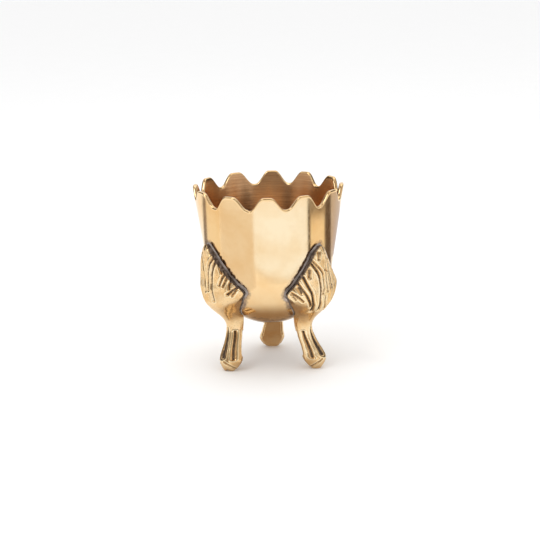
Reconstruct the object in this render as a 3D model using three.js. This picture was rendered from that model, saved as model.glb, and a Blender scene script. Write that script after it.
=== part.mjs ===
// Small footed brass cup: a turned, round-bottomed cup with a scalloped rim, standing on three cast
// legs that are soft-soldered to its wall. Millimetres, +Z up. The origin is on the floor, on the
// cup's axis. Azimuth 0 is the front (-Y) and grows towards +X.
import * as THREE from "three";

// ---- Driving dimensions ----
const TOTAL_HEIGHT = 100; // floor to the tips of the rim's lobes
const BOWL_RADIUS = 34.2; // outside of the round bottom
const BOWL_CENTRE_HEIGHT = 57.1;
const WALL = 2.2;
const WALL_ANGLE = THREE.MathUtils.degToRad(8.6); // lean of the straight wall from the axis
const CUP_FLOOR_RADIUS = 9; // flat faced by the lathe inside the bottom
const LOBE_DEPTH = 7; // lobe tip to the bottom of the notch beside it
const NOTCH_SHARE = 0.045; // a notch is level for this share of a lobe's width, then rises
const LOBE_SHARE = 0.4; // and reaches the round top of the lobe at this share
const LOBE_ROUNDING = 0.12; // share of the depth that the top's own curve takes
const LOBE_WIDTHS = [29, 29, 30, 30, 32, 28, 29, 32, 29, 28, 34, 30]; // degrees, filed by hand
const FIRST_LOBE_AZIMUTH = -1.2; // degrees, centre of the first lobe
const FILED_FROM = TOTAL_HEIGHT - LOBE_DEPTH - 3; // below this the wall is as it was turned
const CUP_SEGMENTS = 84; // round the cup
const JOINT_GAP = 0.3; // left between pieces that solder holds together
const BEAD_WIDTH = 1.9; // solder drawn out over the cup beside a leg
const BEAD_HEIGHT = 0.9;

// Where each leg is soldered on. Lean tips the leg in its own plane, its top towards a lower azimuth.
// Slim is the share of the thigh's width that is left on the side of the higher azimuth.
const LEGS = [
  { name: "front_right", azimuth: 46.8, lean: 3.5, slim: 0.68 },
  { name: "front_left", azimuth: -61, lean: 0.5, slim: 1 },
  { name: "back", azimuth: 176.2, lean: -2, slim: 1 },
];
const SLIM_FROM = 38; // height where a leg starts to slim
const SLIM_TO = 62;
const LEAN_PIVOT_HEIGHT = 46; // the legs tip about this height

// The leg's sections, from the sole to the tip of the thigh. inner, edge and outer are radii from the
// cup's axis: the back face, the shoulder of the side wall, and the crest. base and face are half
// widths along the arc, at the back face and at the shoulder. sway moves the section along the arc.
// inner is null where the leg fits the cup. The first section is below the floor: the sole is filed flat.
const STATIONS = [
  { z: -0.4, inner: 27.4, edge: 28.6, outer: 31.2, base: 2.0, face: 2.6, sway: 3.0 },
  { z: 2.2, inner: 25.6, edge: 27.4, outer: 33.0, base: 4.2, face: 5.2, sway: 2.9 },
  { z: 5.5, inner: 24.4, edge: 26.8, outer: 34.0, base: 6.0, face: 7.0, sway: 2.8 },
  { z: 10, inner: 23.6, edge: 25.8, outer: 32.6, base: 5.7, face: 6.3, sway: 2.2 },
  { z: 14.5, inner: 22.4, edge: 24.6, outer: 30.2, base: 5.0, face: 5.5, sway: 1.4 },
  { z: 18.5, inner: 21.2, edge: 23.4, outer: 28.6, base: 4.6, face: 5.0, sway: 0.7 },
  { z: 22, inner: 20.6, edge: 22.9, outer: 27.8, base: 4.6, face: 4.8, sway: 0.3 },
  { z: 26.5, inner: 20.4, edge: 23.2, outer: 28.5, base: 5.2, face: 4.9, sway: 0.3 },
  { z: 30, inner: null, edge: 25.2, outer: 31.2, base: 6.5, face: 5.6, sway: 0.5 },
  { z: 33, inner: null, edge: 28.2, outer: 34.6, base: 9.2, face: 6.8, sway: 0.7 },
  { z: 36.5, inner: null, edge: 31.6, outer: 38.0, base: 13.0, face: 10.0, sway: 0.9 },
  { z: 39.5, inner: null, edge: 33.4, outer: 39.8, base: 16.2, face: 13.8, sway: 1.2 },
  { z: 43, inner: null, edge: 34.8, outer: 40.3, base: 18.8, face: 18.2, sway: 1.4 },
  { z: 46.5, inner: null, edge: 35.6, outer: 40.6, base: 21.2, face: 21.6, sway: 1.5 },
  { z: 49.2, inner: null, edge: 36.2, outer: 40.6, base: 19.2, face: 19.4, sway: 1.3 },
  { z: 52, inner: null, edge: 36.8, outer: 40.4, base: 16.8, face: 17.2, sway: 1.0 },
  { z: 55, inner: null, edge: 37.4, outer: 40.5, base: 14.4, face: 14.6, sway: 0.8 },
  { z: 58, inner: null, edge: 38.0, outer: 40.5, base: 12.0, face: 12.2, sway: 0.6 },
  { z: 64.5, inner: null, edge: 38.8, outer: 40.4, base: 7.0, face: 7.0, sway: 0.2 },
  { z: 68.4, inner: null, edge: 39.1, outer: 40.1, base: 4.2, face: 4.2, sway: 0 },
  { z: 71, inner: null, edge: 39.1, outer: 39.5, base: 1.2, face: 1.2, sway: 0 },
];

const BRASS = new THREE.MeshStandardMaterial({ color: 0xe0b566, roughness: 0.18, metalness: 1 });
const CAST_BRASS = new THREE.MeshStandardMaterial({ color: 0xc99a4b, roughness: 0.32, metalness: 1 });
const SOLDER = new THREE.MeshStandardMaterial({ color: 0x4c4645, roughness: 0.6, metalness: 0.7 });

const rad = THREE.MathUtils.degToRad;
const lerp = THREE.MathUtils.lerp;

// ---- Closed meshes from rings of points ----

// Joins rings of equally many [x, y, z] points, each counter-clockwise seen from the end it
// leads to, into one closed mesh. The first and last rings are closed by a fan about their mean point.
function loft(rings) {
  const count = rings[0].length;
  const points = rings.flat();
  const indices = [];
  for (let i = 0; i + 1 < rings.length; i++)
    for (let j = 0; j < count; j++) {
      const a = i * count + j;
      const b = i * count + ((j + 1) % count);
      indices.push(a, b, b + count, a, b + count, a + count);
    }
  const cap = (start, flip) => {
    const ring = points.slice(start, start + count);
    const mean = [0, 1, 2].map((k) => ring.reduce((sum, p) => sum + p[k], 0) / count);
    const middle = points.push(mean) - 1;
    for (let j = 0; j < count; j++) {
      const a = start + j;
      const b = start + ((j + 1) % count);
      indices.push(...(flip ? [b, a, middle] : [a, b, middle]));
    }
  };
  const last = (rings.length - 1) * count;
  cap(0, true);
  cap(last, false);
  const geometry = new THREE.BufferGeometry();
  geometry.setAttribute("position", new THREE.Float32BufferAttribute(points.flat(), 3));
  geometry.setIndex(indices);
  geometry.computeVertexNormals();
  return geometry;
}

function mesh(name, geometry, material) {
  const made = new THREE.Mesh(geometry, material);
  made.name = name;
  return made;
}

// A point at a radius and azimuth about the cup's axis.
function polar(radius, azimuth, z) {
  return [radius * Math.sin(azimuth), -radius * Math.cos(azimuth), z];
}

// ---- The cup ----

// Radius of the cup's skin at a height: a ball up to where the straight wall touches it.
function skinRadius(z, inset = 0) {
  const ball = BOWL_RADIUS - inset;
  const rise = z - BOWL_CENTRE_HEIGHT;
  if (rise < -ball * Math.sin(WALL_ANGLE)) return Math.sqrt(Math.max(0, ball * ball - rise * rise));
  return ball / Math.cos(WALL_ANGLE) + rise * Math.tan(WALL_ANGLE);
}

// Height of the rim at an azimuth in degrees, which counts up from the notch before the first lobe.
function rimHeight(azimuth) {
  let along = (azimuth - FIRST_LOBE_AZIMUTH + LOBE_WIDTHS[0] / 2 + 720) % 360;
  let lobe = 0;
  while (along > LOBE_WIDTHS[lobe]) along -= LOBE_WIDTHS[lobe++];
  const share = along / LOBE_WIDTHS[lobe];
  const rise = THREE.MathUtils.smoothstep(Math.min(share, 1 - share), NOTCH_SHARE, LOBE_SHARE);
  return TOTAL_HEIGHT - LOBE_DEPTH * (1 - lerp(rise, Math.sin(Math.PI * share), LOBE_ROUNDING));
}

// The cup's turned section as [radius, height], from the axis up the outside and down the inside. The
// straight wall starts where it touches the ball.
function cupProfile() {
  const wallStart = BOWL_CENTRE_HEIGHT - BOWL_RADIUS * Math.sin(WALL_ANGLE);
  const wallHeights = [0, 0.33, 0.66, 1].map((share) => lerp(wallStart, FILED_FROM, share));
  wallHeights.push(lerp(FILED_FROM, TOTAL_HEIGHT, 0.5), TOTAL_HEIGHT);
  const lastAngle = Math.PI / 2 - WALL_ANGLE;
  const ballHeights = (ball, first, steps) => {
    const angles = [...Array(steps).keys()].map((i) => lerp(first, lastAngle, i / steps));
    return angles.map((angle) => BOWL_CENTRE_HEIGHT - ball * Math.cos(angle));
  };
  const ball = BOWL_RADIUS - WALL;
  const floorAngle = Math.asin(CUP_FLOOR_RADIUS / ball);
  const outside = [...ballHeights(BOWL_RADIUS, rad(5), 8), ...wallHeights];
  const inside = [...ballHeights(ball, floorAngle, 6), ...wallHeights].reverse();
  const points = outside.map((z) => [skinRadius(z), z]);
  points.unshift([0, points[0][1]]);
  points.push(...inside.map((z) => [skinRadius(z, WALL), z]));
  points.push([0, inside.at(-1)]);
  return points.map(([radius, z]) => new THREE.Vector2(radius, z));
}

// Turned on the lathe, then filed down to the lobes: what stands above the filed part's foot slides
// down the slope of the wall in proportion.
function cupGeometry() {
  const geometry = new THREE.LatheGeometry(cupProfile(), CUP_SEGMENTS);
  geometry.rotateX(Math.PI / 2);
  const position = geometry.getAttribute("position");
  for (let i = 0; i < position.count; i++) {
    const [x, y, z] = [position.getX(i), position.getY(i), position.getZ(i)];
    if (z <= FILED_FROM) continue;
    const azimuth = Math.atan2(x, -y);
    const share = (z - FILED_FROM) / (TOTAL_HEIGHT - FILED_FROM);
    const filed = lerp(FILED_FROM, rimHeight(THREE.MathUtils.radToDeg(azimuth)), share);
    const radius = Math.hypot(x, y) - (z - filed) * Math.tan(WALL_ANGLE);
    position.setXYZ(i, ...polar(radius, azimuth, filed));
  }
  geometry.computeVertexNormals();
  return geometry;
}

// ---- The legs ----

// One half of a section, from the crest round to the middle of the back face, as [arc, radius].
function halfSection(station, inner) {
  const { edge, outer, base, face } = station;
  const points = [0, 0.36, 0.62, 0.85].map((s) => [face * s, lerp(outer, edge, s ** 1.9)]);
  points.push([face, edge]);
  points.push([lerp(base, face, 0.5), lerp(inner, edge, 0.5)]);
  for (const s of [1, 0.75, 0.5, 0.25, 0]) points.push([base * s, inner]);
  return points;
}

// Where a point of an upright leg at azimuth 0 goes: swayed, tipped by the leg's lean, and wrapped round
// the cup's axis at the radius of the station's shoulder. lift is its height over the cup's skin, or
// null for a point that keeps its own radius.
function placeLegPoint(leg, station, arc, radius, lift) {
  const lean = rad(leg.lean);
  const across = arc + station.sway;
  const rise = station.z - LEAN_PIVOT_HEIGHT;
  const height = Math.max(0, LEAN_PIVOT_HEIGHT + rise * Math.cos(lean) + across * Math.sin(lean));
  const azimuth = rad(leg.azimuth) + (across * Math.cos(lean) - rise * Math.sin(lean)) / station.edge;
  return polar(lift === null ? radius : skinRadius(height) + lift, azimuth, height);
}

// The share of a section's width that a leg keeps on the side of the higher azimuth.
function keptWidth(leg, z) {
  return lerp(1, leg.slim, THREE.MathUtils.smoothstep(z, SLIM_FROM, SLIM_TO));
}

// A fitted section's side walls shift with the cup as the lean raises one side and lowers the other.
function legRing(leg, station) {
  const fitted = station.inner === null;
  const inner = fitted ? skinRadius(station.z) + JOINT_GAP : station.inner;
  const half = halfSection(station, inner);
  const mirrored = half.slice(1, -1).reverse().map(([arc, radius]) => [-arc, radius]);
  const kept = half.map(([arc, radius]) => [arc * keptWidth(leg, station.z), radius]);
  return [...kept, ...mirrored].map(([arc, radius]) =>
    placeLegPoint(leg, station, arc, radius, fitted ? radius - inner + JOINT_GAP : null),
  );
}

function legGeometry(leg) {
  return loft(STATIONS.map((station) => legRing(leg, station)));
}

// ---- The solder ----

// The edge of a leg where it meets the cup, as [arc, station] from one side over the tip to the other.
function seamPath(leg) {
  const fitted = STATIONS.filter((station) => station.inner === null);
  const halfWidth = (station) => Math.max(station.base, station.face);
  const keptHalf = (station) => halfWidth(station) * keptWidth(leg, station.z);
  const rising = fitted.map((station) => [-halfWidth(station), station]);
  const falling = fitted.map((station) => [keptHalf(station), station]).reverse();
  return [...rising, ...falling];
}

// The unit normal, pointing away from the leg, of the straight from one path point to the next.
function awayFromLeg(from, to) {
  const across = to[0] + to[1].sway - from[0] - from[1].sway;
  const up = to[1].z - from[1].z;
  return [-up / Math.hypot(across, up), across / Math.hypot(across, up)];
}

// A bead of solder along a leg's edge, mitred at each corner, lying on the cup.
function solderGeometry(leg) {
  const path = seamPath(leg);
  const section = [
    [JOINT_GAP, 0],
    [JOINT_GAP + BEAD_WIDTH, 0],
    [JOINT_GAP + BEAD_WIDTH * 0.8, BEAD_HEIGHT * 0.5],
    [JOINT_GAP + BEAD_WIDTH * 0.4, BEAD_HEIGHT * 0.9],
    [JOINT_GAP, BEAD_HEIGHT],
  ];
  const rings = path.map(([arc, station], i) => {
    const before = awayFromLeg(...(i === 0 ? path.slice(0, 2) : path.slice(i - 1, i + 1)));
    const after = i === path.length - 1 ? before : awayFromLeg(...path.slice(i, i + 2));
    const mitre = 1 + before[0] * after[0] + before[1] * after[1];
    const normal = [0, 1].map((k) => (before[k] + after[k]) / mitre);
    return section.map(([offset, height]) => {
      const moved = { ...station, z: station.z + normal[1] * offset };
      return placeLegPoint(leg, moved, arc + normal[0] * offset, null, JOINT_GAP + height);
    });
  });
  return loft(rings);
}

const root = new THREE.Group();
root.add(mesh("cup", cupGeometry(), BRASS));
for (const leg of LEGS) {
  root.add(mesh("leg_" + leg.name, legGeometry(leg), CAST_BRASS));
  root.add(mesh("solder_" + leg.name, solderGeometry(leg), SOLDER));
}

export default root;
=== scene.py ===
"""Footed brass cup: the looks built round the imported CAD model.

Shapes are worked out in millimetres, in the row frame, and become metres when a mesh is made.
An azimuth is an angle about the cup's axis: 0 is the front (-Y), and it grows towards +X.
"""

import math

import bpy
import numpy as np
from mathutils import Matrix, Vector


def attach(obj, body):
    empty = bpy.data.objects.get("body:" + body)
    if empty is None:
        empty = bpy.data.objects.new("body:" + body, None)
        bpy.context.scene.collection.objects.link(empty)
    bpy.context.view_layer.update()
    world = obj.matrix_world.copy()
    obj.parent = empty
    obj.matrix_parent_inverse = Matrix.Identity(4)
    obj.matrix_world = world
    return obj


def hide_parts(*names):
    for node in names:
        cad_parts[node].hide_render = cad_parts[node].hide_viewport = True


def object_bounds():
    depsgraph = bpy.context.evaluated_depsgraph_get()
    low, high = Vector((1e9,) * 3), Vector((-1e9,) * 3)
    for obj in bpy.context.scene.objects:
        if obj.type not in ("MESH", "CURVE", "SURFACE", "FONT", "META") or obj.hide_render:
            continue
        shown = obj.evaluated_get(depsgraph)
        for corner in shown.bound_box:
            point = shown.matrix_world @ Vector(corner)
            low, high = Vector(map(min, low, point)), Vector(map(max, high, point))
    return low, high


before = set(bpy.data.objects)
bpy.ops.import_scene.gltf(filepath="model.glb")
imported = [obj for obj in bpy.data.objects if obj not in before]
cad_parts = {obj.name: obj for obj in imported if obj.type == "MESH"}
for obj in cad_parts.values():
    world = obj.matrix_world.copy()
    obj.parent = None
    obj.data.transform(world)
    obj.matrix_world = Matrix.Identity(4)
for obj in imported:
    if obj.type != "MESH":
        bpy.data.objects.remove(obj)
CAD_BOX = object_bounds()
MM = 0.001

# ---- Driving sizes, those of the CAD ----

TOTAL_HEIGHT = round(CAD_BOX[1][2] / MM, 1)
BOWL_RADIUS = 34.2  # outside of the round bottom
BOWL_CENTRE = 57.1  # height of the middle of the round bottom
WALL = 2.2
WALL_ANGLE = math.radians(8.6)  # lean of the straight wall from the axis
FLOOR_RADIUS = 9.0  # the flat inside the bottom
LOBE_DEPTH = 7.0  # lobe tip to the bottom of the notch beside it
NOTCH_SHARE = 0.045  # a notch is level for this share of a lobe's width, then rises
LOBE_SHARE = 0.40  # and reaches the round top of the lobe at this share
LOBE_ROUNDING = 0.12  # share of the depth that the top's own curve takes
LOBE_WIDTHS = np.array([29, 29, 30, 30, 32, 28, 29, 32, 29, 28, 34, 30], float)  # degrees
FIRST_LOBE_AZIMUTH = -1.2  # degrees

# Where each leg is soldered on, in degrees. Lean tips the leg in its own plane, its top towards a lower
# azimuth. Slim is the share of the thigh's width that is left on the side of the higher azimuth.
LEGS = {
    "front_right": {"azimuth": 46.8, "lean": 3.5, "slim": 0.68},
    "front_left": {"azimuth": -61.0, "lean": 0.5, "slim": 1.0},
    "back": {"azimuth": 176.2, "lean": -2.0, "slim": 1.0},
}
SLIM_FROM = 38.0
SLIM_TO = 62.0
LEAN_PIVOT = 46.0  # the legs tip about this height

# The leg's sections, floor to tip: height, back face, shoulder and crest radii, half widths at the back
# face and at the shoulder, and sway along the arc. A back face of 0 fits the cup.
STATIONS = np.array([
    (-0.4, 27.4, 28.6, 31.2, 2.0, 2.6, 3.0),
    (2.2, 25.6, 27.4, 33.0, 4.2, 5.2, 2.9),
    (5.5, 24.4, 26.8, 34.0, 6.0, 7.0, 2.8),
    (10, 23.6, 25.8, 32.6, 5.7, 6.3, 2.2),
    (14.5, 22.4, 24.6, 30.2, 5.0, 5.5, 1.4),
    (18.5, 21.2, 23.4, 28.6, 4.6, 5.0, 0.7),
    (22, 20.6, 22.9, 27.8, 4.6, 4.8, 0.3),
    (26.5, 20.4, 23.2, 28.5, 5.2, 4.9, 0.3),
    (30, 21.2, 25.2, 31.2, 6.5, 5.6, 0.5),
    (33, 0, 28.2, 34.6, 9.2, 6.8, 0.7),
    (36.5, 0, 31.6, 38.0, 13.0, 10.0, 0.9),
    (39.5, 0, 33.4, 39.8, 16.2, 13.8, 1.2),
    (43, 0, 34.8, 40.3, 18.8, 18.2, 1.4),
    (46.5, 0, 35.6, 40.6, 21.2, 21.6, 1.5),
    (52, 0, 36.8, 40.4, 16.8, 17.2, 1.0),
    (58, 0, 38.0, 40.5, 12.0, 12.2, 0.6),
    (64.5, 0, 38.8, 40.4, 7.0, 7.0, 0.2),
    (68.4, 0, 39.1, 40.1, 4.2, 4.2, 0),
    (71, 0, 39.1, 39.5, 1.2, 1.2, 0),
])
LEG_BOTTOM = STATIONS[0, 0]
LEG_TIP = STATIONS[-1, 0]
FITTED_FROM = 33.0  # height where the back face starts to fit the cup
FIT_GAP = 0.1  # between the back face and the cup
SEAM_FOOT = 30.5  # the solder's lowest point
FAR = 99.0  # farther than any point is from another


# ---- Meshes ----

def polar(radius, azimuth, height):
    """Points at a radius, an azimuth in radians and a height, in one array."""
    return np.stack([radius * np.sin(azimuth), -radius * np.cos(azimuth), height + 0 * radius], -1)


def skin(name, grid, material):
    """A closed mesh from a grid of rings of points, whose ends are closed by fans."""
    rows, columns, _ = grid.shape
    points = np.concatenate([grid.reshape(-1, 3), grid[:1].mean(1), grid[-1:].mean(1)]) * MM
    row, column = np.meshgrid(np.arange(rows - 1), np.arange(columns), indexing="ij")
    a = (row * columns + column).ravel()
    b = (row * columns + (column + 1) % columns).ravel()
    quads = np.stack([a, b, b + columns, a + columns], 1)
    first = np.arange(columns)
    last = first + (rows - 1) * columns
    bottom = np.stack([np.roll(first, -1), first, np.full(columns, rows * columns)], 1)
    top = np.stack([last, np.roll(last, -1), np.full(columns, rows * columns + 1)], 1)
    mesh = bpy.data.meshes.new(name)
    mesh.from_pydata(points.tolist(), [], quads.tolist() + bottom.tolist() + top.tolist())
    mesh.polygons.foreach_set("use_smooth", [True] * len(mesh.polygons))
    mesh.materials.append(material)
    mesh.validate()
    piece = bpy.data.objects.new(name, mesh)
    bpy.context.scene.collection.objects.link(piece)
    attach(piece, "root")
    return piece


def paint(piece, name, grid):
    """A value for each point of a skin's grid, for its material to read. The end points copy their ring."""
    values = np.concatenate([grid.ravel(), grid[:1].mean(1), grid[-1:].mean(1)])
    attribute = piece.data.attributes.new(name, "FLOAT", "POINT")
    attribute.data.foreach_set("value", values.astype(np.float32))


def smooth_columns(keys, wanted):
    """Each column of a table, smoothly interpolated over its first column."""
    x = keys[:, 0]
    slope = np.gradient(keys, x, axis=0)
    i = np.clip(np.searchsorted(x, wanted) - 1, 0, len(x) - 2)
    span = x[i + 1] - x[i]
    t = ((wanted - x[i]) / span)[:, None]
    span = span[:, None]
    return (
        (2 * t**3 - 3 * t**2 + 1) * keys[i] + (t**3 - 2 * t**2 + t) * span * slope[i]
        + (3 * t**2 - 2 * t**3) * keys[i + 1] + (t**3 - t**2) * span * slope[i + 1]
    )


def smoothstep(low, high, x):
    """0 up to low, 1 from high, and a smooth rise between."""
    t = np.clip((x - low) / (high - low), 0, 1)
    return t * t * (3 - 2 * t)


# ---- The cup ----

COLUMNS = 12 * 44  # points round the cup
BALL_RINGS = 44
WALL_RINGS = 72
EDGE_RINGS = 6
INNER_WALL_RINGS = 50
INNER_BALL_RINGS = 30
FIRST_ANGLE = 0.02  # of the smallest ring, under the bottom
EDGE_ROUNDING = 0.9  # radius of both edges of the rim
NOTCH_UNEVENNESS = 0.3
STAIN_REACH = (1.0, 3.8)  # distance from a seam where the stain starts to fade, and where it ends
UNDER_BOWL_SHADE_HEIGHTS = (24.5, 33.5)  # and the same for the painted shade under the bowl, as heights
UNDER_BOWL_SHADE = 0.75  # how dark the painted shade is under the bowl
STAIN_SEAM_POINTS = 90
SMEAR_AZIMUTH = math.radians(16)  # where a smear of solder was left on the wall
SMEAR_HEIGHT = 43.5
SMEAR_SIZE = 2.3


def skin_radius(height, inset=0.0):
    """Radius of the cup's outside at a height, or of a surface inset from it."""
    ball = BOWL_RADIUS - inset
    rise = height - BOWL_CENTRE
    round_part = np.sqrt(np.maximum(0, ball**2 - rise**2))
    straight = ball / math.cos(WALL_ANGLE) + rise * math.tan(WALL_ANGLE)
    return np.where(rise < -ball * math.sin(WALL_ANGLE), round_part, straight)


def rim_height(azimuth):
    """Height of the filed rim at azimuths in degrees."""
    starts = np.concatenate([[0], np.cumsum(LOBE_WIDTHS)])
    along = (azimuth - FIRST_LOBE_AZIMUTH + LOBE_WIDTHS[0] / 2) % 360
    lobe = np.clip(np.searchsorted(starts, along, side="right") - 1, 0, len(LOBE_WIDTHS) - 1)
    share = (along - starts[lobe]) / LOBE_WIDTHS[lobe]
    nearest_notch = np.minimum(share, 1 - share)
    flank = (1 - LOBE_ROUNDING) * smoothstep(NOTCH_SHARE, LOBE_SHARE, nearest_notch)
    lobe_shape = flank + LOBE_ROUNDING * np.sin(np.pi * share)
    notch_unevenness = NOTCH_UNEVENNESS * np.sin(2.9 * np.round(lobe + share) + 1)
    return TOTAL_HEIGHT - (LOBE_DEPTH + notch_unevenness) * (1 - lobe_shape)


def flux_stain_and_shade(grid):
    """How dark each point of the cup is: flux stain, most beside the legs, and painted shade under the
    bowl.
    """
    # Painted shade: the bowl is darkened towards its bottom, under the cup.
    stain_and_shade = UNDER_BOWL_SHADE * (1 - smoothstep(*UNDER_BOWL_SHADE_HEIGHTS, grid[..., 2]))
    station = leg_stations(np.linspace(SEAM_FOOT, LEG_TIP, STAIN_SEAM_POINTS))
    for leg in LEGS.values():
        order, arc = seam_path(leg, station)
        seam = leg_place(leg, station[order], arc[:, None], None, 0.0)[:, 0]
        away = np.full(grid.shape[:2], FAR)
        for point in seam:
            away = np.minimum(away, np.linalg.norm(grid - point, axis=-1))
        stain_and_shade = np.maximum(stain_and_shade, 1 - smoothstep(*STAIN_REACH, away))
    return stain_and_shade


def cup_rings():
    """The cup's rings of points, from under the bottom up the outside and down the inside, and how much
    each point belongs to the unpolished inside."""
    azimuth = np.arange(COLUMNS) * 2 * math.pi / COLUMNS
    top = rim_height(np.degrees(azimuth))
    wall_start = BOWL_CENTRE - BOWL_RADIUS * math.sin(WALL_ANGLE)
    wall_end = top - EDGE_ROUNDING
    last_angle = math.pi / 2 - WALL_ANGLE
    rings = []
    inside = []

    def ring(height, inset=0.0, drawn_in=0.0):
        height = height + np.zeros(COLUMNS)
        rings.append(polar(skin_radius(height, inset) - drawn_in, azimuth, height))
        inside.append(np.full(COLUMNS, inset / WALL if drawn_in == 0 else 0.0))

    def edge_ring(angle, inset, inwards):
        drop = EDGE_ROUNDING * (1 - math.sin(angle))
        ring(top - drop, inset, inwards * EDGE_ROUNDING * (1 - math.cos(angle)))

    for angle in np.linspace(FIRST_ANGLE, last_angle, BALL_RINGS, endpoint=False):
        ring(BOWL_CENTRE - BOWL_RADIUS * math.cos(angle))
    for share in np.linspace(0, 1, WALL_RINGS, endpoint=False):
        ring(wall_start + (wall_end - wall_start) * share)
    for angle in np.linspace(0, math.pi / 2, EDGE_RINGS):
        edge_ring(angle, 0, 1)
    for angle in np.linspace(math.pi / 2, 0, EDGE_RINGS):
        edge_ring(angle, WALL, -1)
    for share in np.linspace(1, 0, INNER_WALL_RINGS)[1:]:
        ring(wall_start + (wall_end - wall_start) * share, WALL)
    ball = BOWL_RADIUS - WALL
    floor_angle = math.asin(FLOOR_RADIUS / ball)
    for angle in np.linspace(last_angle, floor_angle, INNER_BALL_RINGS)[1:]:
        ring(BOWL_CENTRE - ball * math.cos(angle), WALL)
    floor_height = BOWL_CENTRE - ball * math.cos(floor_angle)
    for share in (0.8, 0.5, 0.1):
        rings.append(polar(np.full(COLUMNS, FLOOR_RADIUS * share), azimuth, floor_height))
        inside.append(np.ones(COLUMNS))
    return np.array(rings), np.array(inside)


def make_cup(material):
    """The turned cup, with what its material needs to know of each point."""
    grid, inside = cup_rings()
    cup = skin("turned_cup", grid, material)
    paint(cup, "inside", inside)
    # The flux stain beside the legs, together with the painted shade under the bowl.
    paint(cup, "flux_and_shade", flux_stain_and_shade(grid) * (1 - inside))
    smear = polar(skin_radius(SMEAR_HEIGHT), SMEAR_AZIMUTH, SMEAR_HEIGHT)
    paint(cup, "smear", np.exp(-np.sum((grid - smear) ** 2, -1) / SMEAR_SIZE**2))
    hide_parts("cup")


# ---- The legs ----

# Chased and cast hollows in a leg: points along the middle of the hollow, its width at the first and at
# the last of them, and its depth. A point is how far it lies out from the leg's crest along the face, and
# its height on the upright leg. Past the shoulder the distance goes on down the side.
FLUTES_LONG = [
    ([(2.6, 68.4), (3.2, 64.6)], 2.4, 1.8, 0.7),
    ([(0.2, 58.2), (-2.2, 57.1)], 1.3, 1.0, 0.6),
    ([(6.6, 64.0), (1.9, 57.0), (1.8, 50.4), (3.0, 45.2)], 1.7, 1.0, 0.8),
    ([(7.4, 62.8), (3.9, 54.5), (4.3, 42.5), (3.0, 35.6)], 1.9, 1.4, 1.0),
    ([(9.3, 59.6), (9.8, 55.8)], 3.0, 2.4, 0.8),
    ([(12.8, 56.2), (9.6, 47.5), (8.1, 41.7), (5.6, 35.0)], 2.0, 1.4, 1.1),
    ([(15.8, 53.2), (11.8, 45.5), (8.0, 38.5)], 2.0, 1.2, 1.0),
    ([(15.5, 51.0), (14.6, 48.0)], 3.0, 2.6, 0.9),
    ([(19.4, 48.2), (16.3, 45.6), (13.0, 42.4)], 2.1, 1.2, 0.9),
    ([(18.7, 45.9), (17.0, 43.9)], 1.7, 1.2, 0.8),
    ([(1.1, 43.6), (1.3, 40.0), (-0.5, 35.4)], 1.2, 1.4, 0.9),
]
FLUTES_SHORT = [
    ([(3.4, 69.6), (5.0, 66.9)], 3.0, 2.4, 0.8),
    ([(7.2, 65.6), (4.6, 62.1), (2.6, 55.8), (2.0, 47.0)], 2.1, 1.7, 0.9),
    ([(8.8, 64.6), (6.4, 59.6), (4.6, 50.0), (4.9, 41.5)], 2.2, 1.6, 1.0),
    ([(10.8, 62.0), (10.9, 60.0), (11.6, 57.2)], 1.9, 1.5, 0.9),
    ([(14.2, 57.6), (11.8, 54.9), (9.5, 50.6)], 1.9, 1.3, 0.9),
    ([(14.4, 55.3), (11.5, 50.2)], 1.6, 1.3, 0.9),
    ([(18.0, 54.4), (15.4, 52.0), (15.0, 48.9)], 1.8, 1.4, 0.9),
    ([(20.0, 50.7), (16.4, 48.4), (13.2, 45.8)], 2.1, 1.7, 1.0),
    ([(18.2, 49.0), (15.6, 45.3)], 1.7, 1.4, 0.8),
]
FLUTES_SIDE = [
    ([(2.6, 65.5), (1.0, 57.0), (0.4, 46.0)], 1.8, 1.6, 0.9),
    ([(4.6, 62.0), (5.4, 53.6), (4.6, 44.0), (3.4, 38.0)], 3.2, 1.8, 1.0),
    ([(8.6, 57.5), (9.6, 51.0), (9.0, 45.0), (6.6, 38.5)], 2.6, 1.7, 1.0),
    ([(12.6, 54.0), (13.4, 49.0), (12.4, 43.5), (9.4, 39.4)], 2.4, 1.7, 1.0),
    ([(16.8, 49.6), (16.6, 46.6), (14.4, 43.0)], 2.2, 1.6, 0.9),
]
FOOT_HOLLOWS = [
    ([(3.4, 21.5), (3.8, 14.5), (4.8, 7.4)], 1.1, 1.7, 1.0),
    ([(6.8, 21.0), (7.6, 14.0), (8.8, 8.0)], 1.1, 1.5, 0.8),
    ([(1.4, 6.0), (3.0, 4.2), (4.8, 0.4)], 0.8, 1.3, 0.7),
]
# The hollow down the middle of the foot, which widens towards the toes.
WEDGE = ([(0.2, 23.0), (0.0, 15.5), (0.0, 8.8)], 1.4, 4.0, 1.7)
# The flutes on the side of growing azimuth, and on the other.
FLUTES = {
    "front_right": (FLUTES_SIDE, FLUTES_LONG),
    "front_left": (FLUTES_SHORT, FLUTES_SIDE),
    "back": (FLUTES_LONG, FLUTES_SIDE),
}
FLUTE_SPREAD = 1.15  # every hollow's width is multiplied by this
HOLLOW_STEPS = 15  # points along a hollow
BURR = 0.15  # height of the lip that chasing raised round a hollow
BURR_WIDTH = 0.3
CLEFT_HEIGHT = 0.9  # of the notch under the toes
CLEFT_RUN = 1.0  # how far out from the crest the notch lies
CLEFT_FADE = (0, 4)  # heights between which it closes
LUMPS = 0.12  # unevenness left by the casting
LUMP_SIZE = 3.0
CREST_FULLNESS = 1.9  # how flat the face stays before it falls to the shoulder

# The solder's black crust on a leg, with painted shade along its edge and by the cup: heights between which
# it sets in, how far past the shoulder it does, and distances from the cup between which it ends.
CRUST_AND_SHADE_HEIGHT = (40, 46)
CRUST_AND_SHADE_EDGE = (-1.0, 0.6)
CRUST_AND_SHADE_NEAR = (0.3, 1.6)

SHANK_ROWS = 130
THIGH_ROWS = 190
THIGH_FROM = 30.0  # height where the rows of points become closer


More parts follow.
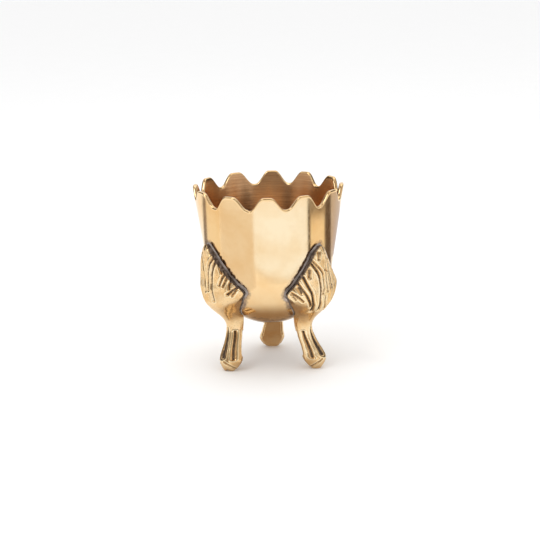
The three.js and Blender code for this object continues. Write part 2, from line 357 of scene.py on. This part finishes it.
def leg_place(leg, station, arc, radius, lift=None):
    """Where points of an upright leg go: swayed, leaned and wrapped round the cup's axis. station holds
    the smoothed columns of STATIONS, one row of values for each row of points."""
    z, shoulder, sway = station[:, 0:1], station[:, 2:3], station[:, 6:7]
    lean = math.radians(leg["lean"])
    across = arc + sway
    rise = z - LEAN_PIVOT
    height = np.maximum(0, LEAN_PIVOT + rise * math.cos(lean) + across * math.sin(lean))
    azimuth = math.radians(leg["azimuth"]) + (across * math.cos(lean) - rise * math.sin(lean)) / shoulder
    if lift is not None:
        radius = skin_radius(height) + lift
    return polar(radius, azimuth, height)


def kept_width(leg, z, side):
    """The share of a section's width that a leg keeps on each side: 1, or less where it is slim."""
    slimming = smoothstep(SLIM_FROM, SLIM_TO, z)
    return np.where(side > 0, 1 + (leg["slim"] - 1) * slimming, 1.0)


def half_section(station, front=84, side=18, back=10):
    """Arc, radius and run of one half of every row's section, from the crest round to the middle of the
    back face. The run is the distance out from the crest, which goes on down the side. front, side and
    back are how many points each stretch has."""
    inner, shoulder, crest, base, face = (station[:, k:k + 1] for k in (1, 2, 3, 4, 5))
    s = np.linspace(0, 1, front, endpoint=False)[None]
    arc = [face * s]
    radius = [crest + (shoulder - crest) * s**CREST_FULLNESS]
    run = [face * s]
    s = np.linspace(0, 1, side, endpoint=False)[None]
    arc.append(face + (base - face) * s)
    radius.append(shoulder + (inner - shoulder) * s)
    run.append(face + np.hypot(base - face, shoulder - inner) * s)
    s = np.linspace(1, 0, back)[None]
    arc.append(base * s)
    radius.append(inner + 0 * s)
    run.append(face + np.hypot(base - face, shoulder - inner) + base * (1 - s))
    return [np.concatenate(part, 1) for part in (arc, radius, run)]


def hollow_depth(run, z, hollow):
    """How deep one hollow is at each point of the surface, and where its raised lips are."""
    points, first_width, last_width, depth = hollow
    keys = np.column_stack([np.linspace(0, 1, len(points)), np.array(points, float)])
    path = smooth_columns(keys, np.linspace(0, 1, HOLLOW_STEPS))
    nearest = np.full(run.shape, FAR)
    along = np.zeros(run.shape)
    for start, end in zip(path[:-1], path[1:]):
        step = end - start
        part = ((run - start[1]) * step[1] + (z - start[2]) * step[2]) / (step[1] ** 2 + step[2] ** 2)
        part = np.clip(part, 0, 1)
        away = np.hypot(run - start[1] - part * step[1], z - start[2] - part * step[2])
        along = np.where(away < nearest, start[0] + part * step[0], along)
        nearest = np.minimum(away, nearest)
    width = FLUTE_SPREAD * (first_width + (last_width - first_width) * along)
    floor = depth * (1 - smoothstep(0.0, 0.5, nearest / width))
    return floor, np.exp(-((nearest - 0.5 * width - BURR_WIDTH) / BURR_WIDTH) ** 2)


def chased_depth(name, run, z, side):
    """Depth of everything chased into a leg, where side is +1 or -1 for the half each point is in."""
    z = z + 0 * run
    total, burr = hollow_depth(run * side, z, WEDGE)
    for flutes, sign in zip(FLUTES[name], (1, -1)):
        for hollow in flutes + FOOT_HOLLOWS:
            depth, lip = hollow_depth(run * side * sign, z, hollow)
            total = np.maximum(total, depth)
            burr = np.maximum(burr, lip)
    return total - BURR * burr * (1 - smoothstep(0, 0.3, total))


def unevenness(points, scale, seed):
    """Smooth hand-made variation between -1 and 1, the same on every run."""
    x, y, z = (points[..., k] / scale for k in range(3))
    return (
        np.sin(x * 1.7 + seed + 1.3 * np.sin(y * 1.1 + seed)) * np.sin(y * 1.9 + 2 * seed)
        + np.sin(z * 2.3 + 0.7 * seed + 1.2 * np.sin(x * 1.4)) * np.cos(y * 1.3 - seed)
    ) / 2


def surface_normals(grid):
    """Outward unit normals of a grid of rings."""
    up = np.gradient(grid, axis=0)
    around = np.roll(grid, -1, 1) - np.roll(grid, 1, 1)
    normal = np.cross(around, up)
    return normal / np.maximum(np.linalg.norm(normal, axis=-1, keepdims=True), 1e-9)


def leg_stations(z):
    """The leg's sections at every height in z, with the back face of the thigh fitted to the cup."""
    keys = STATIONS.copy()
    fitted = keys[:, 1] == 0
    keys[fitted, 1] = skin_radius(keys[fitted, 0]) + FIT_GAP
    station = smooth_columns(keys, z)
    station[:, 1] = np.where(z >= FITTED_FROM, skin_radius(z) + FIT_GAP, station[:, 1])
    return station


def seam_crust_and_shade(grid, z, past_shoulder):
    """The solder's black crust and painted shade on each point of a leg: along its edge, and by the cup."""
    along_edge = smoothstep(*CRUST_AND_SHADE_EDGE, past_shoulder) * smoothstep(*CRUST_AND_SHADE_HEIGHT, z)
    above_cup = np.hypot(grid[..., 0], grid[..., 1]) - skin_radius(grid[..., 2])
    by_cup = (1 - smoothstep(*CRUST_AND_SHADE_NEAR, above_cup)) * (z > SEAM_FOOT + 0.5)
    return np.maximum(along_edge, by_cup)


def make_leg(name, material):
    """One cast leg, with its hollows chased in, and what its material needs to know of each point."""
    leg = LEGS[name]
    shank = np.linspace(LEG_BOTTOM, THIGH_FROM, SHANK_ROWS, endpoint=False)
    z = np.concatenate([shank, np.linspace(THIGH_FROM, LEG_TIP, THIGH_ROWS)])[:, None]
    station = leg_stations(z[:, 0])
    arc, radius, run = half_section(station)
    side = np.concatenate([np.ones(arc.shape[1]), -np.ones(arc.shape[1] - 2)])[None]
    arc, radius, run = (np.concatenate([part, part[:, -2:0:-1]], 1) for part in (arc, radius, run))
    grid = leg_place(leg, station, arc * side * kept_width(leg, z, side), radius)
    inner, shoulder, base, face = (station[:, k:k + 1] for k in (1, 2, 4, 5))
    behind = run > face + np.hypot(base - face, shoulder - inner)
    depth = np.where(behind, 0, chased_depth(name, run, z, side))
    lumps = LUMPS * unevenness(grid, LUMP_SIZE, leg["azimuth"])
    grid = grid - surface_normals(grid) * np.where(behind, 0, depth + lumps)[..., None]
    cleft = CLEFT_HEIGHT * np.exp(-((run * side - CLEFT_RUN) ** 2)) * (1 - smoothstep(*CLEFT_FADE, z))
    grid[..., 2] = np.maximum(grid[..., 2], 0) + np.where(behind, 0, cleft)
    piece = skin("cast_leg_" + name, grid, material)
    paint(piece, "hollow", depth)
    # The seam mask: the solder's crust, with painted shade on the leg's side faces and by the cup.
    paint(piece, "seam", seam_crust_and_shade(grid, z, run - face))
    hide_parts("leg_" + name)


# ---- The solder ----

BEAD_WIDTH = 1.6
BEAD_HEIGHT = 0.9
BEAD_LIFT = 0.06  # between the bead's underside and the cup
BEAD_CLEARANCE = 0.05  # between the bead and the leg's edge
BEAD_SHOULDER = 1.5  # how full the bead's section is
BEAD_RINGS = 9
BELOW_CORNER = (40, 47)  # heights between which the bead thins towards the leg's lower end
SEAM_ROWS = 150


def seam_path(leg, station):
    """Station numbers and arcs along the leg's edge on the cup: up one side, over the tip and down."""
    half_width = np.maximum(station[:, 4], station[:, 5]) + BEAD_CLEARANCE
    rows = np.arange(len(station))
    order = np.concatenate([rows, rows[::-1]])
    side = np.concatenate([np.ones(len(rows)), -np.ones(len(rows))])
    return order, side * half_width[order] * kept_width(leg, station[order, 0], side)


def bead_ring(leg, station, order, path, height):
    """One line of points along the bead, at each arc and height of a path and lifted off the cup."""
    lifted = station[order].copy()
    lifted[:, 0] = path[:, 1]
    return leg_place(leg, lifted, path[:, 0:1], None, height[:, None] + BEAD_LIFT)[:, 0]


def bead_size(leg, path):
    """Width and height of the hand-laid bead at each point of its path."""
    thinned = 1 - smoothstep(*BELOW_CORNER, path[:, 1])
    place = np.column_stack([path, path[:, 0] * 0])
    wander = unevenness(place, 3.1, leg["azimuth"]) + 0.5 * unevenness(place, 0.9, leg["lean"])
    width = BEAD_WIDTH * (0.75 + 0.3 * wander) * (1 - 0.6 * thinned)
    height = BEAD_HEIGHT * (0.4 + 0.15 * unevenness(place, 1.4, 2)) * (1 - 0.5 * thinned)
    return width, height


def outward_of(path):
    """Unit steps away from the leg, in arc and height, at right angles to its edge."""
    ahead = np.gradient(path, axis=0)
    for _ in range(12):
        ahead[1:-1] = (ahead[:-2] + 2 * ahead[1:-1] + ahead[2:]) / 4
    ahead /= np.linalg.norm(ahead, axis=1, keepdims=True)
    return np.column_stack([ahead[:, 1], -ahead[:, 0]])


def make_solder(name, material):
    """The bead of solder in the corner between one leg's edge and the cup."""
    leg = LEGS[name]
    station = leg_stations(np.linspace(SEAM_FOOT, LEG_TIP, SEAM_ROWS))
    order, arc = seam_path(leg, station)
    path = np.column_stack([arc, station[order, 0]])
    outward = outward_of(path)
    width, height = bead_size(leg, path)
    rings = []
    for angle in np.linspace(0, math.pi / 2, BEAD_RINGS):
        step = width * math.sin(angle) ** BEAD_SHOULDER
        lift = height * math.cos(angle) ** BEAD_SHOULDER
        rings.append(bead_ring(leg, station, order, path + outward * step[:, None], lift))
    for share in (0.66, 0.33, 0.0):
        rings.append(bead_ring(leg, station, order, path + outward * (width * share)[:, None], 0 * height))
    piece = skin("solder_bead_" + name, np.stack(rings, 1), material)
    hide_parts("solder_" + name)


# ---- Materials ----

# The colour sockets of a Mix node, which share their names with its other sockets.
MIX_SHARE, MIX_FIRST, MIX_SECOND = 0, 6, 7
MIX_RESULT = 2


class Shade:
    """A node material round one Principled shader. Values are constants or other nodes' sockets."""

    def __init__(self, name):
        self.material = bpy.data.materials.new(name)
        self.material.use_nodes = True
        self.tree = self.material.node_tree
        self.shader = self.tree.nodes["Principled BSDF"]
        self.place = self.add("ShaderNodeTexCoord").outputs["Object"]

    def set(self, node, values):
        """Link or set inputs of a node, by name or by number."""
        for key, value in values.items():
            if isinstance(value, bpy.types.NodeSocket):
                self.tree.links.new(value, node.inputs[key])
            else:
                node.inputs[key].default_value = value

    def add(self, kind, values=(), **settings):
        node = self.tree.nodes.new(kind)
        for key, value in settings.items():
            setattr(node, key, value)
        self.set(node, dict(values))
        return node

    def finish(self, **values):
        self.set(self.shader, {key.replace("_", " "): value for key, value in values.items()})
        return self.material

    def noise(self, per_metre, detail=3.0, stretch=(1, 1, 1), roughness=0.5):
        """Noise with so many cells to a metre, from 0 to 1, stretched along the axes."""
        mapping = self.add("ShaderNodeMapping", {"Vector": self.place, "Scale": stretch})
        values = {
            "Vector": mapping.outputs[0], "Scale": per_metre, "Detail": detail, "Roughness": roughness,
        }
        return self.add("ShaderNodeTexNoise", values).outputs["Fac"]

    def maths(self, operation, first, second=0.0, third=0.0):
        """One sum. MULTIPLY_ADD is the only one here that reads the third value."""
        values = {0: first, 1: second, 2: third}
        return self.add("ShaderNodeMath", values, operation=operation).outputs[0]

    def span(self, value, low, high, to_low=0.0, to_high=1.0):
        """The value carried from the range low..high to another, and held at its ends."""
        values = {"Value": value, "From Min": low, "From Max": high, "To Min": to_low, "To Max": to_high}
        return self.add("ShaderNodeMapRange", values).outputs[0]

    def blend(self, share, first, second):
        """A colour between two, where share 0 is the first."""
        mix = self.add("ShaderNodeMix", data_type="RGBA")
        self.set(mix, {MIX_SHARE: share, MIX_FIRST: first, MIX_SECOND: second})
        return mix.outputs[MIX_RESULT]

    def attribute(self, name):
        """What paint() left on the mesh under this name."""
        return self.add("ShaderNodeAttribute", attribute_name=name).outputs["Fac"]

    def bump(self, height, depth_mm, normal=None):
        """Normals of a surface raised by up to so many millimetres, over those of another bump."""
        values = {"Height": height, "Strength": 1.0, "Distance": depth_mm * MM}
        if normal is not None:
            values["Normal"] = normal
        return self.add("ShaderNodeBump", values).outputs[0]


BRASS = (0.90, 0.66, 0.37, 1)
WARM_BRASS = (0.84, 0.55, 0.26, 1)
RED_BRASS = (0.74, 0.42, 0.19, 1)
# Lighter brass for the raised lips: partly wear, partly a painted highlight.
WORN_HIGHLIGHT_BRASS = (0.98, 0.80, 0.50, 1)
PATINA = (0.075, 0.050, 0.032, 1)
BROWN_PATINA = (0.22, 0.13, 0.07, 1)
# Brown of the flux stain, also used for the painted shade under the bowl.
FLUX_AND_SHADE_BROWN = (0.20, 0.14, 0.12, 1)
SOLDER_DARK = (0.07, 0.056, 0.05, 1)
SOLDER_BROWN = (0.25, 0.19, 0.155, 1)
SOLDER_PALE = (0.50, 0.44, 0.40, 1)
# The inside's browns, darker than the outside: partly its duller turned finish, partly painted shade inside
# the bowl.
INSIDE_SHADED_BRASS = (0.80, 0.54, 0.32, 1)
INSIDE_SHADED_DARK = (0.62, 0.38, 0.21, 1)
SPECKLE = (-0.42, 0.18)  # how far specks lower and raise the dirt on a leg


def turned_colour(shade, inside, lines):
    """Polished outside with brown flux stains, painted shade under the bowl and a smear of solder; turned
    inside, with painted shade.
    """
    clouds = shade.noise(60, 4)
    red = shade.span(shade.noise(110, 6, roughness=0.65), 0.55, 0.75)
    polished = shade.blend(shade.span(clouds, 0.35, 0.7), BRASS, WARM_BRASS)
    polished = shade.blend(shade.maths("MULTIPLY", red, 0.12), polished, RED_BRASS)
    # Brown flux stain beside the legs, and painted shade under the bowl, in one mask.
    flux_and_shade = shade.attribute("flux_and_shade")
    blotches = shade.span(shade.noise(420, 6, roughness=0.7), 0.3, 0.7, -0.6, 0.5)
    blotches = shade.maths("MULTIPLY", blotches, shade.span(flux_and_shade, 0, 0.3))
    stained_and_shaded = shade.span(shade.maths("ADD", flux_and_shade, blotches), 0.1, 1)
    polished = shade.blend(shade.maths("MULTIPLY", stained_and_shaded, 0.85), polished, FLUX_AND_SHADE_BROWN)
    ragged = shade.span(shade.noise(500, 5), 0.3, 0.7, -0.3, 0.3)
    smear = shade.maths("ADD", shade.attribute("smear"), ragged)
    polished = shade.blend(shade.span(smear, 0.3, 0.8, 0, 0.85), polished, SOLDER_PALE)
    banded = shade.maths("MULTIPLY_ADD", lines, 0.6, shade.maths("MULTIPLY", clouds, 0.4))
    # Painted shade: the inside's turned brass is given darker colours than the outside.
    dull_and_shaded_inside = shade.blend(shade.span(banded, 0.4, 0.62), INSIDE_SHADED_DARK, INSIDE_SHADED_BRASS)
    return shade.blend(inside, polished, dull_and_shaded_inside)


def turned_brass():
    """Brass off the lathe: fine lines run round it, coarser and duller on the inside, where painted shade
    darkens its colour.
    """
    shade = Shade("turned_brass")
    inside = shade.attribute("inside")
    lines = shade.noise(1400, 2, (0.02, 0.02, 1))
    fine_lines = shade.noise(5200, 2, (0.01, 0.01, 1))
    ridges = shade.maths("MULTIPLY", shade.noise(2600, 2, (0.008, 0.008, 1)), inside)
    normal = shade.bump(lines, 0.0012)
    normal = shade.bump(fine_lines, 0.0006, normal)
    normal = shade.bump(ridges, 0.008, normal)
    mottled = shade.span(shade.noise(300, 5), 0.3, 0.75, 0.09, 0.16)
    roughness = shade.maths("MULTIPLY_ADD", inside, 0.10, mottled)
    colour = turned_colour(shade, inside, lines)
    return shade.finish(Base_Color=colour, Metallic=1.0, Roughness=roughness, Normal=normal)


def cast_brass():
    """Cast and chased brass: patina dark in the hollows, brown round them, lips bright with wear and
    painted highlight.
    """
    shade = Shade("cast_brass")
    hollow = shade.attribute("hollow")
    seam = shade.attribute("seam")
    speckle = shade.span(shade.noise(1100, 5, roughness=0.7), 0.32, 0.7, *SPECKLE)
    pits = shade.span(shade.noise(1500, 3), 0.62, 0.72)
    clouds = shade.noise(160, 4)
    dirt = shade.maths("ADD", hollow, speckle)
    crust_and_shade_mask = shade.maths("ADD", seam, speckle)
    # Darkened in the hollows by patina, and along the edge and by the cup by solder crust with painted
    # shade.
    dark = shade.maths("MAXIMUM", shade.span(dirt, 0.4, 0.85), shade.span(crust_and_shade_mask, 0.3, 0.7))
    brown = shade.maths("MAXIMUM", shade.span(dirt, 0.1, 0.55), shade.span(crust_and_shade_mask, 0.1, 0.5))
    # The raised lips round the hollows are lightened: partly wear, partly a painted highlight.
    worn_and_highlight = shade.span(hollow, -0.02, -0.12)
    colour = shade.blend(shade.span(clouds, 0.35, 0.65), BRASS, WARM_BRASS)
    colour = shade.blend(worn_and_highlight, colour, WORN_HIGHLIGHT_BRASS)
    colour = shade.blend(shade.maths("MULTIPLY", brown, 0.6), colour, BROWN_PATINA)
    # Near-black patina in the hollows; solder crust with painted shade along the leg's edge and by the cup.
    crust_and_shade = shade.blend(shade.span(shade.noise(600, 5), 0.4, 0.65), PATINA, SOLDER_BROWN)
    crust_and_shade = shade.blend(shade.span(seam, 0.1, 0.6), PATINA, crust_and_shade)
    colour = shade.blend(dark, colour, crust_and_shade)
    colour = shade.blend(shade.maths("MULTIPLY", pits, 0.5), colour, BROWN_PATINA)
    satin = shade.span(dark, 0, 1, 0.17, 0.55)
    roughness = shade.maths("ADD", satin, shade.span(speckle, *SPECKLE, 0, 0.08))
    metal = shade.span(dark, 0.2, 1.0, 1.0, 0.5)
    normal = shade.bump(shade.noise(420, 4), 0.06)
    normal = shade.bump(shade.maths("MULTIPLY", pits, -1), 0.03, normal)
    return shade.finish(Base_Color=colour, Metallic=metal, Roughness=roughness, Normal=normal)


def solder_grey():
    """Soft solder, dulled nearly black by the flux, with paler patches where it was wiped."""
    shade = Shade("solder")
    speckle = shade.noise(700, 5, roughness=0.7)
    patches = shade.noise(110, 4)
    colour = shade.blend(shade.span(speckle, 0.35, 0.65), SOLDER_DARK, SOLDER_BROWN)
    colour = shade.blend(shade.span(patches, 0.42, 0.62, 0, 0.75), colour, SOLDER_PALE)
    roughness = shade.span(speckle, 0.3, 0.7, 0.62, 0.85)
    normal = shade.bump(shade.noise(900, 4), 0.12)
    return shade.finish(Base_Color=colour, Metallic=0.4, Roughness=roughness, Normal=normal)


# ---- The studio ----

# The floor, the lamps and the camera are in metres, and the cards are in millimetres.

FLOOR_HALF = 9.0


def make_floor():
    """A plain pale floor, so large that its edges never show."""
    corners = [
        (-FLOOR_HALF, -FLOOR_HALF, 0),
        (FLOOR_HALF, -FLOOR_HALF, 0),
        (FLOOR_HALF, FLOOR_HALF, 0),
        (-FLOOR_HALF, FLOOR_HALF, 0),
    ]
    mesh = bpy.data.meshes.new("floor")
    mesh.from_pydata(corners, [], [(0, 1, 2, 3)])
    floor = bpy.data.objects.new("floor", mesh)
    shade = Shade("floor_paper")
    colour = shade.blend(shade.noise(30, 4), (0.95, 0.95, 0.95, 1), (0.93, 0.93, 0.93, 1))
    mesh.materials.append(shade.finish(Base_Color=colour, Roughness=0.9))
    bpy.context.scene.collection.objects.link(floor)


# Light and dark cards on the studio's floor, by where each shows in the polished cup from the front. The
# numbers are millimetres on the cup: from and to a distance across, from and to a height, how far the lower
# edge bows up at its ends, and how softly the edges fade. The light comes last.
TONE_TOP = 101.0
FLOOR_TONES = {
    "shade_yellow": (-26.2, -7.4, 46, 101, 4, 1.0, (0.95, 0.91, 0.88)),
    "warm_left": (-33.8, -25.6, 38, 101, 0, 0.7, (1.01, 0.92, 0.78)),
    "dark_left": (-35.4, -32.9, 38, 101, 0, 0.7, (0.28, 0.25, 0.24)),
    "window": (-8.8, 20.8, 54, 101, 9, 1.2, (1.12, 1.27, 1.56)),
    "window_sill": (-8.0, 17.5, 52.4, 53.9, 9, 0.45, (0.55, 0.49, 0.43)),
    "dark_line": (20.1, 22.2, 38, 101, 0, 0.5, (0.10, 0.09, 0.08)),
    "warm_right": (21.4, 30.0, 38, 101, 0, 0.6, (1.04, 0.95, 0.80)),
    "dark_patch": (21.4, 30.0, 87.5, 104, 0, 0.8, (0.26, 0.22, 0.19)),
    "dark_right": (28.8, 33.8, 38, 104, 0, 1.3, (0.14, 0.105, 0.09)),
    "pink_right": (33.0, 38.6, 60, 104, 0, 0.6, (0.64, 0.60, 0.64)),
}
FLOOR_TONE_POINTS = 60  # each way
FLOOR_TONE_LIFT = 0.3  # of the lowest card, above the floor
FLOOR_TONE_STEP = 0.05  # from one card to the next over it
# Light and dark stretches of the studio's round wall, which is open at the back: from and to an azimuth in
# degrees, and their light.
WALL_TONES = {
    "dark_far_left": (-135, -80, (0.07, 0.055, 0.045)),
    "pale_left": (-80, -40, (0.66, 0.59, 0.52)),
    "grey_left": (-40, -26, (0.32, 0.28, 0.25)),
    "dark_middle": (-26, 16, (0.32, 0.27, 0.22)),
    "grey_right": (16, 28, (0.34, 0.30, 0.27)),
    "pale_right": (28, 75, (0.74, 0.66, 0.59)),
    "bright_far_right": (75, 92, (0.95, 0.88, 0.78)),
    "dark_beyond_right": (92, 135, (0.07, 0.055, 0.04)),
}
WALL_RADIUS = 1200
WALL_HEIGHTS = [40, 1200]
CEILING_RADII = [1, 900]
CEILING_HEIGHT = 1250
CEILING_TONE = (0.44, 0.38, 0.34)
UNDER_CUP_RADII = (12, 46)  # where the brown card under the cup, a painted shadow, starts to fade, and where it ends
UNDER_CUP_LIFT = 0.2
UNDER_CUP_SHADOW_TONE = (0.34, 0.25, 0.18)


def outward_normal(azimuth, height):
    """The cup's outward normal, where azimuth and height are arrays."""
    down = np.minimum(-math.sin(WALL_ANGLE), (height - BOWL_CENTRE) / BOWL_RADIUS)
    return polar(np.sqrt(1 - down**2), azimuth, down)


def mirrored_floor(azimuth, height):
    """The point of the floor that the camera sees mirrored in the cup."""
    point = polar(skin_radius(height), azimuth, height)
    ray = point - np.array(bpy.context.scene.camera.location) / MM
    normal = outward_normal(azimuth, height)
    bounce = ray - 2 * (ray * normal).sum(-1, keepdims=True) * normal
    return point - bounce * (point[..., 2:] / bounce[..., 2:])


def glow_material(name, colour):
    """Light of one colour, which fades out with the card's attribute named strength."""
    material = bpy.data.materials.new(name)
    material.use_nodes = True
    nodes = material.node_tree.nodes
    links = material.node_tree.links
    nodes.clear()
    glow = nodes.new("ShaderNodeEmission")
    glow.inputs["Color"].default_value = (*colour, 1)
    strength = nodes.new("ShaderNodeAttribute")
    strength.attribute_name = "strength"
    mix = nodes.new("ShaderNodeMixShader")
    output = nodes.new("ShaderNodeOutputMaterial")
    links.new(strength.outputs["Fac"], mix.inputs[0])
    links.new(nodes.new("ShaderNodeBsdfTransparent").outputs[0], mix.inputs[1])
    links.new(glow.outputs[0], mix.inputs[2])
    links.new(mix.outputs[0], output.inputs["Surface"])
    return material


def make_card(name, grid, colour, strength):
    """A card that only shiny things see: a grid of points in millimetres, and how strong it is at each."""
    rows, columns, _ = grid.shape
    faces = [
        (i * columns + j, i * columns + j + 1, (i + 1) * columns + j + 1, (i + 1) * columns + j)
        for i in range(rows - 1) for j in range(columns - 1)
    ]
    mesh = bpy.data.meshes.new(name)
    mesh.from_pydata((grid.reshape(-1, 3) * MM).tolist(), [], faces)
    mesh.materials.append(glow_material(name, colour))
    fade = mesh.attributes.new("strength", "FLOAT", "POINT")
    fade.data.foreach_set("value", strength.ravel().astype(np.float32))
    card = bpy.data.objects.new(name, mesh)
    card.visible_camera = False
    card.visible_diffuse = False
    card.visible_shadow = False
    bpy.context.scene.collection.objects.link(card)


def edge_fade(values, start, end, softness):
    """1 between start and end, fading to 0 at both."""
    return smoothstep(start, start + softness, values) * (1 - smoothstep(end - softness, end, values))


def make_floor_cards():
    """The cards on the floor, laid out backwards from where they show in the cup."""
    count = FLOOR_TONE_POINTS
    for layer, (name, (start, end, low, high, bow, soft, colour)) in enumerate(FLOOR_TONES.items()):
        across, level = np.meshgrid(np.linspace(start, end, count), np.linspace(low, high, count))
        from_middle = (2 * across - start - end) / (end - start)
        height = level + bow * from_middle**2 * (TONE_TOP - level) / (TONE_TOP - low)
        azimuth = np.arcsin(np.clip(across / skin_radius(height), -0.99, 0.99))
        grid = mirrored_floor(azimuth, height)
        grid[..., 2] = FLOOR_TONE_LIFT + FLOOR_TONE_STEP * layer
        strength = edge_fade(across, start, end, soft) * edge_fade(level, low, high, soft)
        make_card("tone_" + name, grid, colour, strength)


def make_room_cards():
    """The cards that stand round the cup, hang over it, and lie under it as a painted shadow."""
    for name, (start, end, colour) in WALL_TONES.items():
        azimuth, height = np.meshgrid(np.radians(np.linspace(start, end, 12)), WALL_HEIGHTS)
        make_card("tone_" + name, polar(WALL_RADIUS, azimuth, height), colour, np.ones(azimuth.shape))
    around = np.linspace(0, 2 * math.pi, 48)
    azimuth, radius = np.meshgrid(around, CEILING_RADII)
    ceiling = polar(radius, azimuth, CEILING_HEIGHT)
    make_card("tone_ceiling", ceiling, CEILING_TONE, np.ones(azimuth.shape))
    # A painted shadow: the brown card under the cup, which only shiny things see.
    azimuth, radius = np.meshgrid(around, np.linspace(0.5, UNDER_CUP_RADII[1], 20))
    strength = 1 - smoothstep(*UNDER_CUP_RADII, radius)
    make_card("tone_shadow_under_cup", polar(radius, azimuth, UNDER_CUP_LIFT), UNDER_CUP_SHADOW_TONE, strength)


# Soft lamps: place, side of the square, and watts.
LAMPS = {
    "key": ((-0.5, -0.5, 0.9), 0.5, 2),
    "top": ((0.1, 0.2, 1.1), 0.8, 2),
}
LAMP_AIM = Vector((0, 0, 0.05))


def make_lights():
    """A white world and the lamps."""
    world = bpy.data.worlds.new("studio")
    bpy.context.scene.world = world
    world.use_nodes = True
    background = world.node_tree.nodes["Background"]
    background.inputs["Color"].default_value = (1, 1, 1, 1)
    background.inputs["Strength"].default_value = 1.0
    for name, (place, side, power) in LAMPS.items():
        light = bpy.data.lights.new(name, "AREA")
        light.shape = "RECTANGLE"
        light.size = side
        light.size_y = side
        light.energy = power
        lamp = bpy.data.objects.new(name, light)
        lamp.location = place
        lamp.rotation_euler = (LAMP_AIM - Vector(place)).to_track_quat("-Z", "Y").to_euler()
        bpy.context.scene.collection.objects.link(lamp)


CAMERA_TARGET = Vector((0, 0, 0.0517))
CAMERA_DISTANCE = 0.882
CAMERA_ELEVATION = math.radians(13.91)
CAMERA_LENS = 106.9  # millimetres, on a frame 36 mm wide
CAMERA_ROLL = math.radians(-1.24)


def make_camera():
    """The front view: a little above the rim, and tipped slightly to one side."""
    camera = bpy.data.objects.new("camera", bpy.data.cameras.new("camera"))
    camera.data.lens = CAMERA_LENS
    camera.data.sensor_width = 36
    camera.data.clip_start = 0.01
    back = Vector((0, -math.cos(CAMERA_ELEVATION), math.sin(CAMERA_ELEVATION)))
    camera.location = CAMERA_TARGET + CAMERA_DISTANCE * back
    look = (CAMERA_TARGET - camera.location).to_track_quat("-Z", "Y").to_matrix().to_4x4()
    roll = Matrix.Rotation(CAMERA_ROLL, 4, "Z")
    camera.matrix_world = Matrix.Translation(camera.location) @ look @ roll
    bpy.context.scene.collection.objects.link(camera)
    bpy.context.scene.camera = camera


bpy.context.scene.view_settings.view_transform = "Standard"
make_camera()
make_floor()
make_floor_cards()
make_room_cards()
make_lights()
make_cup(turned_brass())
cast = cast_brass()
solder = solder_grey()
for leg_name in LEGS:
    make_leg(leg_name, cast)
    make_solder(leg_name, solder)
